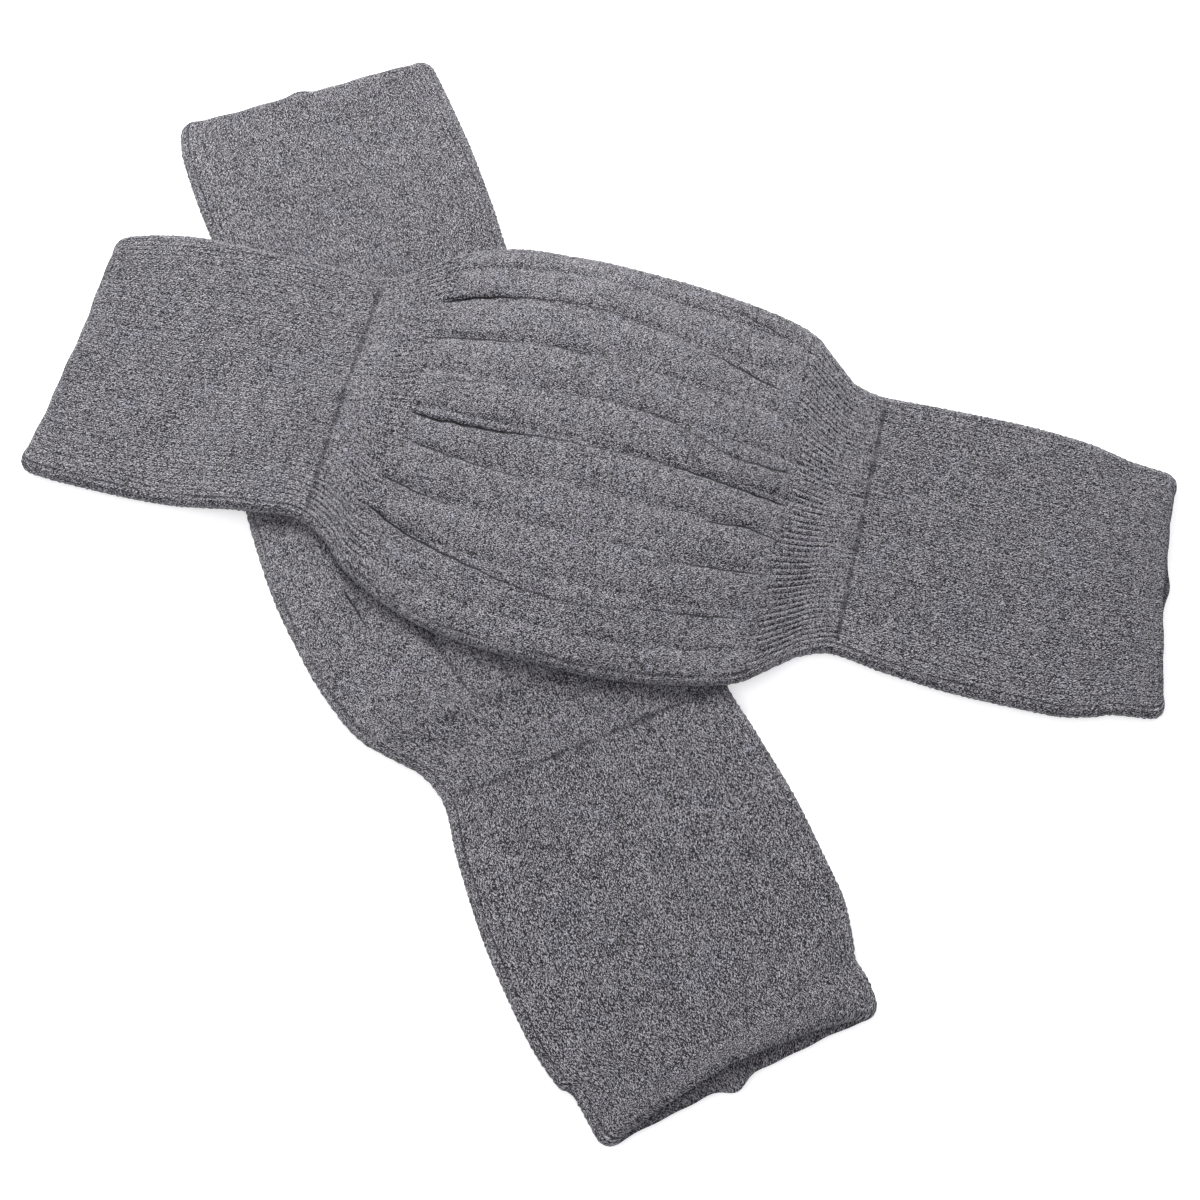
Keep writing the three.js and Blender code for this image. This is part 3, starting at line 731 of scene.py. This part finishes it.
class Nodes:
    """Short calls that build nodes."""

    def __init__(self, tree):
        self.tree = tree

    def fill(self, node, inputs):
        """Links values to a node's inputs, or sets numbers or colours on them."""
        for key, value in inputs.items():
            if isinstance(value, Value):
                self.tree.links.new(value.socket, node.inputs[key])
            else:
                node.inputs[key].default_value = value

    def add(self, kind, *inputs, settings=None, **named):
        """A new node, with its inputs by place or by name."""
        node = self.tree.nodes.new("ShaderNode" + kind)
        for key, value in (settings or {}).items():
            setattr(node, key, value)
        self.fill(node, {**dict(enumerate(inputs)), **named})
        return node

    def value(self, kind, *inputs, output=0, **named):
        """An output of a new node."""
        return Value(self, self.add(kind, *inputs, **named).outputs[output])

    def math(self, operation, a, b=0.0, c=0.0, clamp=False):
        return self.value("Math", a, b, c, settings={"operation": operation, "use_clamp": clamp})

    def join(self, x, y, z=0.0):
        return self.value("CombineXYZ", x, y, z)

    def map(self, value, low, high, to_low, to_high, smooth=False):
        kind = "SMOOTHSTEP" if smooth else "LINEAR"
        return self.value("MapRange", value, low, high, to_low, to_high,
                          settings={"interpolation_type": kind})

    def noise(self, vector, scale, detail=2.0, rough=0.5):
        return self.value("TexNoise", Vector=vector, Scale=scale, Detail=detail, Roughness=rough)

    def random(self, vector):
        return self.value("TexWhiteNoise", output="Value", Vector=vector)

    def shade(self, which):
        return self.value("Attribute", output="Fac", settings={"attribute_name": which})

    def multiplied(self, factor, a, b):
        """One colour times another, as far as factor says."""
        return self.value("Mix", output="Result", Factor=factor, A=a, B=b,
                          settings={"data_type": "RGBA", "blend_type": "MULTIPLY"})


def new_material(name):
    """A material, the builder of its nodes and its shader."""
    mat = bpy.data.materials.new(name)
    mat.use_nodes = True
    return mat, Nodes(mat.node_tree), mat.node_tree.nodes["Principled BSDF"]


def centred(value, gain):
    """A value between 0 and 1 as a push to either side of nothing."""
    return (value - 0.5) * gain


def knit_material(name, settings, look):
    """Heather yarn in plain knit. Each stitch is a V of two legs, and each leg is a twist of light
    and dark fibres. look is one of the LOOKS."""
    mat, n, shader = new_material(name)
    band = n.shade("band")

    def field(x, y, seed, scale=1.0, detail=2.0, rough=0.6):
        return n.noise(n.join(x, y, seed), scale, detail, rough)

    stitch = n.value("UVMap", settings={"uv_map": "stitches"})
    raw_wale, raw_course = (Value(n, out) for out in n.add("SeparateXYZ", stitch).outputs[:2])
    # The stitches wander a little, as cloth laid by hand does.
    wale = raw_wale + centred(n.noise(stitch, 0.35), look["wander"])
    wander = field(raw_course, raw_wale, 7.0, 0.35, rough=0.5)
    course = raw_course + centred(wander, 1.1 * look["wander"])

    # m runs from the middle of a wale (0) to its edges (1), and each leg climbs as it goes out.
    from_middle = n.math("FRACT", wale) - 0.5
    m = n.math("ABSOLUTE", from_middle) * 2.0
    side = n.math("SIGN", from_middle)
    leg = course - m * look["climb"]
    half_wale = n.math("FLOOR", wale * 2.0)
    yarn = n.random(n.join(half_wale, n.math("FLOOR", leg), look["seed"]))
    round_leg = n.math("POWER", n.math("SINE", n.math("FRACT", leg) * math.pi), 0.7)
    leg_end = n.math("SINE", n.math("MULTIPLY_ADD", m, 0.82 * math.pi, 0.09 * math.pi))
    height = round_leg * n.math("POWER", leg_end, 0.6)

    # Fibres, in mm: fine streaks along each leg, which slant to either side of the wale.
    x, y = wale * look["wale_mm"], course * look["course_mm"]
    slant = side * look["slant"]
    fibre_x, fibre_y = x - slant * y, y + slant * x
    column = n.random(n.join(half_wale, 0.0, look["seed"]))
    strand = column * 40.0 + yarn * look["strand"]

    def fibres(width, length, seed, detail):
        def across(width, seed):
            return field(fibre_x / width, fibre_y / length, strand + seed, 1.0, detail, 0.65)

        loose = across(width, seed)
        if not look["gathered"]:
            return loose
        gathered = n.map(band, 0.0, 0.3, 0.0, look["gathered"])
        tight = across(width * GATHERED_WIDTH, seed + 3.0)
        return n.value("Mix", Factor=gathered, A=loose, B=tight)

    streak = fibres(look["fibre"], 1.8, 1.7, 1.0)
    fine = fibres(look["fibre"] * 0.84, 0.58, 31.0, 0.0)
    plain_x, plain_y = raw_wale * look["wale_mm"], raw_course * look["course_mm"]
    mottle = field(plain_x * 0.5, plain_y * 0.3, 5.0)
    blotch = field(plain_x, plain_y, 11.0, 0.09, 3.0)
    # The dye varies along the yarn, so light and dark stretches follow the courses.
    dye = field(plain_x * 0.14, n.math("FLOOR", course) * 0.8, 17.0)
    # Painted shade and light: some wales are a little darker, others a little lighter, for a
    # stretch, as if they sat lower or higher.
    wale_painted_shade = field(n.math("FLOOR", wale) * 0.9, plain_y * 0.06, 29.0, 1.0, 1.0, 0.5)

    # Gathered ribs show their strands more.
    k = look["contrast"]
    fine_push = n.math("MULTIPLY_ADD", band, 0.9, 0.95)
    # Painted shading of the stitches: each leg's height lights its top and darkens its ends in the
    # tone; the same height also shapes the bump.
    tone = (centred(yarn, 0.15 * k) + centred(streak, 2.7 * k) + centred(fine, 5.2 * k) * fine_push
            + centred(blotch, 0.45) + centred(dye, look["dye"]) + centred(wale_painted_shade, 0.3)
            + centred(mottle, 0.35) + centred(height, 0.4 * k) + look["tone"])

    # Crease lines: painted shade, a thin, dark and a little ragged line along each crease, as the
    # stitches on either side close over them. The same line darkens each fold crease and the dark
    # row of each join.
    ragged = centred(field(plain_x, plain_y, 3.0, 0.9), 0.2)
    away = n.math("ABSOLUTE", n.shade("crease") + ragged)
    pressed = n.math("POWER", n.shade("crease_depth"), 1.7) * 0.85
    pressed = pressed * n.map(fine, 0.3, 0.7, 0.6, 1.25)
    line = n.map(away, 0.08, 0.58, 1.0, 0.0, smooth=True)
    crease = n.math("MULTIPLY", line, pressed, clamp=True)

    # Rib bands, and on the cuffs the wales: painted shade in the grooves between them, and painted
    # highlight and shade on the bead in each course of a rib.
    rib_at = n.math("MULTIPLY_ADD", raw_wale, look["ribs_a_wale"], centred(mottle, 0.4))
    rib = n.math("ABSOLUTE", n.math("FRACT", rib_at) - 0.5)
    gap = n.map(rib + centred(streak, 0.16), 0.02, 0.16, 1.0, 0.0, smooth=True)
    gap = gap * n.map(mottle, 0.3, 0.65, 0.55, 1.45)
    bead = n.math("SINE", raw_course * (2.0 * math.pi))
    ribs = gap * 1.6 - bead * 0.3 - 0.3

    # Painted light and shade from the mesh, painted shade in the rib grooves, then the painted
    # shade of the crease lines.
    tone = n.math("SUBTRACT", tone - n.shade("hollow") * 0.6, ribs * band, clamp=True)
    tone = tone * (1.0 - crease * 0.92)

    ramp = n.add("ValToRGB", tone)
    elements = ramp.color_ramp.elements
    for position in YARN_STOPS[1:-1]:
        elements.new(position)
    colours = (settings.shadow_yarn, settings.dark_yarn, settings.body_yarn, settings.light_yarn,
               settings.fleck_yarn)
    for element, position, colour in zip(elements, YARN_STOPS, colours):
        element.position = position
        element.color = (*colour, 1.0)
    # A few patches have a breath of violet in them.
    patches = field(raw_wale, raw_course, 23.0, 0.16, rough=0.5)
    violet = n.map(patches, 0.5, 0.72, 0.0, 0.35, smooth=True)
    colour = n.multiplied(violet, Value(n, ramp.outputs[0]), VIOLET)
    bump = n.value("Bump", Strength=look["relief"], Distance=BUMP_DISTANCE,
                   Height=height + streak * 0.55)
    n.fill(shader, {
        "Base Color": colour, "Roughness": n.map(tone, 0.0, 1.0, 0.98, 0.86), "Normal": bump,
        "Sheen Weight": settings.sheen, "Sheen Roughness": 0.6, "Specular IOR Level": 0.2})
    return mat


def plain_material(name, colour, roughness, glow):
    """A plain, faintly glowing surface, as a lit table is."""
    mat, n, shader = new_material(name)
    grain = n.noise(n.value("TexCoord", output="Object"), 40.0)
    pale = n.multiplied(1.0, (*colour, 1.0), n.map(grain, 0.0, 1.0, 0.99, 1.0))
    n.fill(shader, {"Base Color": pale, "Roughness": roughness,
                    "Emission Color": (1.0, 1.0, 1.0, 1.0), "Emission Strength": glow})
    return mat


# --- What a user can change ---

class WarmersKnit(bpy.types.PropertyGroup):
    """Sizes and colours of the knit."""
    cuff_step: bpy.props.FloatProperty(
        name="Cuff row step", description="Distance between rows of points along a cuff, in mm",
        default=1.0, min=0.4, max=5.0)
    knee_step: bpy.props.FloatProperty(
        name="Knee row step",
        description="Distance between rows of points along a knee section, in mm",
        default=0.95, min=0.4, max=5.0)
    cuff_course: bpy.props.FloatProperty(
        name="Cuff course", description="Height of one course of a cuff's knit, in mm",
        default=1.9, min=0.5, max=5.0)
    knee_course: bpy.props.FloatProperty(
        name="Knee course", description="Height of one course of the knee's knit, in mm",
        default=1.35, min=0.5, max=5.0)
    shadow_yarn: bpy.props.FloatVectorProperty(
        name="Between stitches", description="Colour deep between the stitches", subtype="COLOR",
        size=3, min=0, max=1, default=(0.007, 0.0066, 0.0079))
    dark_yarn: bpy.props.FloatVectorProperty(
        name="Dark yarn", description="Colour of the dark fibres", subtype="COLOR",
        size=3, min=0, max=1, default=(0.0208, 0.0199, 0.0232))
    body_yarn: bpy.props.FloatVectorProperty(
        name="Yarn", description="Middle colour of the heather yarn", subtype="COLOR",
        size=3, min=0, max=1, default=(0.0594, 0.0568, 0.0649))
    light_yarn: bpy.props.FloatVectorProperty(
        name="Light yarn", description="Colour of the light fibres", subtype="COLOR",
        size=3, min=0, max=1, default=(0.1222, 0.1175, 0.1324))
    fleck_yarn: bpy.props.FloatVectorProperty(
        name="Flecks", description="Colour of the lightest flecks", subtype="COLOR",
        size=3, min=0, max=1, default=(0.312, 0.304, 0.329))
    sheen: bpy.props.FloatProperty(
        name="Sheen", description="Strength of the soft nap's sheen",
        default=0.12, min=0.0, max=1.0, subtype="FACTOR")


class WarmersStage(bpy.types.PropertyGroup):
    """The floor, lights and camera."""
    elevation: bpy.props.FloatProperty(
        name="Camera elevation", description="Height of the camera above the table's plane",
        default=math.radians(70), subtype="ANGLE")
    distance: bpy.props.FloatProperty(
        name="Camera distance", description="Distance from the camera to its target",
        default=0.575, min=0.1, max=5.0, unit="LENGTH")
    target: bpy.props.FloatVectorProperty(
        name="Camera target", description="Point on the table that the camera looks at",
        subtype="TRANSLATION", size=3, default=(0.00079, -0.02088, 0.0))
    floor_colour: bpy.props.FloatVectorProperty(
        name="Floor", description="Colour of the plain floor", subtype="COLOR",
        size=3, min=0, max=1, default=(0.9, 0.9, 0.9))
    key_power: bpy.props.FloatProperty(
        name="Key light", description="Power of the large soft light beyond the pair",
        default=19.0, min=0.0, max=200.0, unit="POWER")
    fill_strength: bpy.props.FloatProperty(
        name="Fill light", description="Strength of the even light from all round",
        default=0.79, min=0.0, max=5.0)


# --- Operators ---

# The stitches' sizes in mm and the finish's strengths, for the cuffs and for the knees.
LOOKS = {
    "wale_mm": (2.0, 1.5), "course_mm": (1.9, 1.35), "climb": (0.85, 0.7), "slant": (0.22, 0.42),
    "strand": (3.0, 4.0), "gathered": (0.0, 1.0), "contrast": (1.16, 1.58), "tone": (0.272, 0.276),
    "dye": (0.55, 1.4), "fibre": (0.27, 0.285), "ribs_a_wale": (1.0, 0.5), "relief": (0.75, 0.6),
    "wander": (0.5, 0.6), "seed": (2.0, 9.0),
}
CUFF_LOOK, KNEE_LOOK = ({key: both[i] for key, both in LOOKS.items()} for i in (0, 1))
FLOOR_HALF_SIZE = 3.0
FLOOR_DROP = 0.0003
FLOOR_ROUGHNESS, FLOOR_GLOW = 0.9, 0.42
# Soft lights: name, place, size and share of the key light's power.
LIGHTS = (("key_light", (-0.35, 0.85, 0.66), 0.5, 1.0), ("side_light", (-1.0, -0.3, 1.1), 0.9, 0.2))
SKY = (0.98, 0.97, 1.0, 1.0)
LENS, SENSOR = 50.0, 36.0


def dress(piece, node, slot, material, flat, area):
    """Gives a piece its material, hides the part of the model that it takes the place of and
    attaches it to the root.
    """
    piece.data.materials.append(material)
    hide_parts(node)
    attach(piece, "root")


def cloth_cut(w, start, stop):
    """The width and length all round of a stretch of tube, and its flat area."""
    at = np.linspace(start, stop, 200)
    section = section_at(w, at)
    around = 2 * (2 * section["half"] + section["flat"] * (math.pi / 2 - 1)) * MM
    length = (stop - start) * MM
    return (float(around.max()), float(length)), float(np.mean(around) * length)


class WARMERS_OT_cuffs(bpy.types.Operator):
    """Knit the turned-in cuffs at both ends of each warmer"""
    bl_idname = "warmers.cuffs"
    bl_label = "Knit the cuffs"

    def execute(self, context):
        settings = context.scene.warmers_knit
        material = knit_material("heather_cuff_knit", settings, CUFF_LOOK)
        for w in (LOWER, UPPER):
            ends = (0, w["seams"][0]), (w["seams"][1], w["length"])
            for end, part in enumerate(ends):
                piece, node = cuff_piece(w, end, settings)
                dress(piece, node, "cuff_knit", material, *cloth_cut(w, *part))
        return {"FINISHED"}


class WARMERS_OT_knees(bpy.types.Operator):
    """Knit the pleated knee section of each warmer"""
    bl_idname = "warmers.knees"
    bl_label = "Knit the knee sections"

    def execute(self, context):
        settings = context.scene.warmers_knit
        material = knit_material("heather_knee_knit", settings, KNEE_LOOK)
        for w in (LOWER, UPPER):
            piece, node = knee_piece(w, settings)
            dress(piece, node, "knee_knit", material, *cloth_cut(w, *w["seams"]))
        return {"FINISHED"}


class WARMERS_OT_stage(bpy.types.Operator):
    """Set up the floor, the soft lights and the camera"""
    bl_idname = "warmers.stage"
    bl_label = "Set up the stage"

    def execute(self, context):
        settings = context.scene.warmers_stage
        scene = context.scene
        mesh = bpy.data.meshes.new("floor")
        r = FLOOR_HALF_SIZE
        mesh.from_pydata([(-r, -r, 0), (r, -r, 0), (r, r, 0), (-r, r, 0)], [], [(0, 1, 2, 3)])
        mesh.materials.append(
            plain_material("pale_floor", settings.floor_colour, FLOOR_ROUGHNESS, FLOOR_GLOW))
        floor = into_scene("floor", mesh)
        floor.location.z = -FLOOR_DROP

        for name, place, size, share in LIGHTS:
            data = bpy.data.lights.new(name, "AREA")
            data.shape = "DISK"
            data.size = size
            data.energy = settings.key_power * share
            light = into_scene(name, data)
            light.location = place
            aim = settings.target - light.location
            light.rotation_euler = aim.to_track_quat("-Z", "Y").to_euler()

        world = bpy.data.worlds.new("even_light")
        world.use_nodes = True
        background = world.node_tree.nodes["Background"]
        background.inputs["Color"].default_value = SKY
        background.inputs["Strength"].default_value = settings.fill_strength
        scene.world = world

        data = bpy.data.cameras.new("camera")
        data.lens = LENS
        data.sensor_width = SENSOR
        camera = into_scene("camera", data)
        e = settings.elevation
        camera.location = (settings.target[0],
                           settings.target[1] - settings.distance * math.cos(e),
                           settings.target[2] + settings.distance * math.sin(e))
        camera.rotation_euler = (math.pi / 2 - e, 0.0, 0.0)
        scene.camera = camera
        scene.view_settings.view_transform = "Standard"
        scene.view_settings.look = "None"
        return {"FINISHED"}


class WARMERS_PT_panel(bpy.types.Panel):
    """Settings and steps of the knee warmers"""
    bl_idname = "WARMERS_PT_panel"
    bl_label = "Knee warmers"
    bl_space_type = "VIEW_3D"
    bl_region_type = "UI"
    bl_category = "Knee warmers"

    def draw(self, context):
        layout = self.layout
        for settings in (context.scene.warmers_knit, context.scene.warmers_stage):
            for key in settings.__annotations__:
                layout.prop(settings, key)
        for operator in (WARMERS_OT_cuffs, WARMERS_OT_knees, WARMERS_OT_stage):
            layout.operator(operator.bl_idname)


CLASSES = (WarmersKnit, WarmersStage, WARMERS_OT_cuffs, WARMERS_OT_knees, WARMERS_OT_stage,
           WARMERS_PT_panel)


def register():
    for cls in CLASSES:
        bpy.utils.register_class(cls)
    bpy.types.Scene.warmers_knit = bpy.props.PointerProperty(type=WarmersKnit)
    bpy.types.Scene.warmers_stage = bpy.props.PointerProperty(type=WarmersStage)


def unregister():
    del bpy.types.Scene.warmers_stage
    del bpy.types.Scene.warmers_knit
    for cls in reversed(CLASSES):
        bpy.utils.unregister_class(cls)


def main():
    register()
    bpy.ops.warmers.cuffs()
    bpy.ops.warmers.knees()
    bpy.ops.warmers.stage()
    bpy.context.view_layer.update()


if __name__ == "__main__":
    main()
